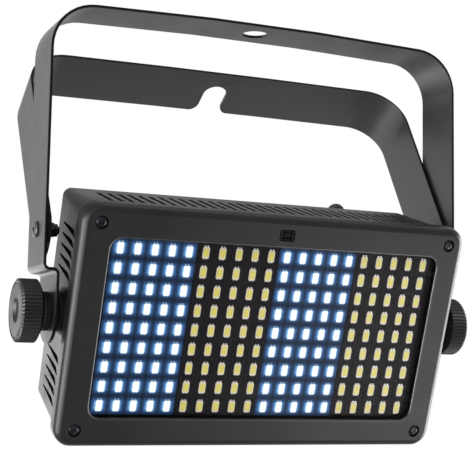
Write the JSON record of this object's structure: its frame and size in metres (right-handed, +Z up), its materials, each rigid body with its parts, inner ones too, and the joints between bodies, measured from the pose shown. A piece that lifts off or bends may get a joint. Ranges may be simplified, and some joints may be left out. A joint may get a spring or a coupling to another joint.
{
  "type": "strobe light",
  "caption": "LED strobe panel for stage use: a ventilated flat head with rows of LEDs, hung in a double bracket between two clamp knobs.",
  "frame": {"origin": "centre of the clamp hole on the top face of the yoke's crossbar", "axes": "+Z up along the hanging bolt, +X to the right seen from the front along the clamp knobs, -Y to the front where the LEDs face"},
  "size_m": [0.2462, 0.1117, 0.2167],
  "materials": {
    "yoke_steel": "textured black powder coat",
    "shell_plastic": "fine textured black moulded ABS",
    "knob_plastic": "moulded black nylon, ribbed grip",
    "black_rubber": "matt",
    "zinc_steel": "bright zinc plated",
    "black_screw_steel": "black oxide",
    "brass": "turned",
    "aluminium": "as rolled",
    "black_circuit_board": "black solder mask on glass laminate",
    "green_circuit_board": "green solder mask on glass laminate",
    "white_led": "LED package, white, lit",
    "amber_led": "LED package, yellow phosphor, unlit",
    "clear_window": "clear polycarbonate",
    "dark_lens": "smoked acrylic",
    "transformer_tape": "yellow polyester tape",
    "capacitor_sleeve": "shrink sleeve"
  },
  "bodies": {
    "yoke": {"main_yoke": "yoke_steel", "bracket_screw_left": "black_screw_steel", "bracket_screw_right": "black_screw_steel", "bracket_washer_left": "black_screw_steel", "bracket_washer_right": "black_screw_steel", "bracket_lock_nut_left": "black_screw_steel", "bracket_lock_nut_right": "black_screw_steel", "outer_friction_washer_left": "black_rubber", "outer_friction_washer_right": "black_rubber"},
    "bracket": {"floor_bracket": "yoke_steel"},
    "head": {"bezel_screw_1": "black_screw_steel", "bezel_screw_2": "black_screw_steel", "bezel_screw_3": "black_screw_steel", "bezel_screw_4": "black_screw_steel", "board_screw_1": "black_screw_steel", "board_screw_2": "black_screw_steel", "board_screw_3": "black_screw_steel", "board_screw_4": "black_screw_steel", "capacitor": "capacitor_sleeve", "clear_window": "clear_window", "control_board": "green_circuit_board", "data_input": "black_screw_steel", "data_output": "black_screw_steel", "display_module": "shell_plastic", "display_window": "dark_lens", "front_bezel": "shell_plastic", "fuse_holder": "shell_plastic", "heat_spreader": "aluminium", "inner_friction_washer_left": "black_rubber", "inner_friction_washer_right": "black_rubber", "ir_window": "dark_lens", "led_bank_amber_left": "amber_led", "led_bank_amber_right": "amber_led", "led_bank_white_left": "white_led", "led_bank_white_right": "white_led", "led_board": "black_circuit_board", "panel_screw_1": "black_screw_steel", "panel_screw_2": "black_screw_steel", "panel_screw_3": "black_screw_steel", "panel_screw_4": "black_screw_steel", "pivot_insert_left": "brass", "pivot_insert_right": "brass", "power_board": "green_circuit_board", "power_inlet": "shell_plastic", "power_outlet": "shell_plastic", "rear_panel": "yoke_steel", "rear_shell": "shell_plastic", "safety_eye": "yoke_steel", "transformer": "transformer_tape"},
    "knob_left": {"clamp_knob_left": "knob_plastic", "knob_stud_left": "zinc_steel"},
    "knob_right": {"clamp_knob_right": "knob_plastic", "knob_stud_right": "zinc_steel"},
    "fuse_cap": {"fuse_cap": "shell_plastic"},
    "data_latch": {"data_latch": "zinc_steel"},
    "menu_button_1": {"menu_button_1": "knob_plastic"},
    "menu_button_2": {"menu_button_2": "knob_plastic"},
    "menu_button_3": {"menu_button_3": "knob_plastic"},
    "menu_button_4": {"menu_button_4": "knob_plastic"}
  },
  "joints": [
    {"name": "head_tilt", "type": "hinge", "parent": "yoke", "child": "head", "pos_m": [0, 0, -0.1524], "axis": [1, 0, 0], "range_deg": [-35, 165]},
    {"name": "bracket_swing", "type": "hinge", "parent": "yoke", "child": "bracket", "pos_m": [0, 0, -0.1128], "axis": [1, 0, 0], "range_deg": [-67, 129]},
    {"name": "knob_left_turn", "type": "hinge", "parent": "head", "child": "knob_left", "pos_m": [-0.1231, 0, -0.1524], "axis": [-1, 0, 0], "range_deg": [0, 360]},
    {"name": "knob_right_turn", "type": "hinge", "parent": "head", "child": "knob_right", "pos_m": [0.1231, 0, -0.1524], "axis": [1, 0, 0], "range_deg": [0, 360]},
    {"name": "fuse_cap_turn", "type": "hinge", "parent": "head", "child": "fuse_cap", "pos_m": [-0.062, 0.02945, -0.12054], "axis": [0, 0.9409, 0.3387], "range_deg": [0, 45]},
    {"name": "data_latch_press", "type": "slide", "parent": "head", "child": "data_latch", "axis": [0, -0.9409, -0.3387], "range_m": [0, 0.0012], "stiffness_N_per_m": 1500, "springref_m": -0.001},
    {"name": "menu_button_1_press", "type": "slide", "parent": "head", "child": "menu_button_1", "axis": [0, -0.9409, -0.3387], "range_m": [0, 0.0008], "stiffness_N_per_m": 1500, "springref_m": -0.001},
    {"name": "menu_button_2_press", "type": "slide", "parent": "head", "child": "menu_button_2", "axis": [0, -0.9409, -0.3387], "range_m": [0, 0.0008], "stiffness_N_per_m": 1500, "springref_m": -0.001},
    {"name": "menu_button_3_press", "type": "slide", "parent": "head", "child": "menu_button_3", "axis": [0, -0.9409, -0.3387], "range_m": [0, 0.0008], "stiffness_N_per_m": 1500, "springref_m": -0.001},
    {"name": "menu_button_4_press", "type": "slide", "parent": "head", "child": "menu_button_4", "axis": [0, -0.9409, -0.3387], "range_m": [0, 0.0008], "stiffness_N_per_m": 1500, "springref_m": -0.001}
  ]
}
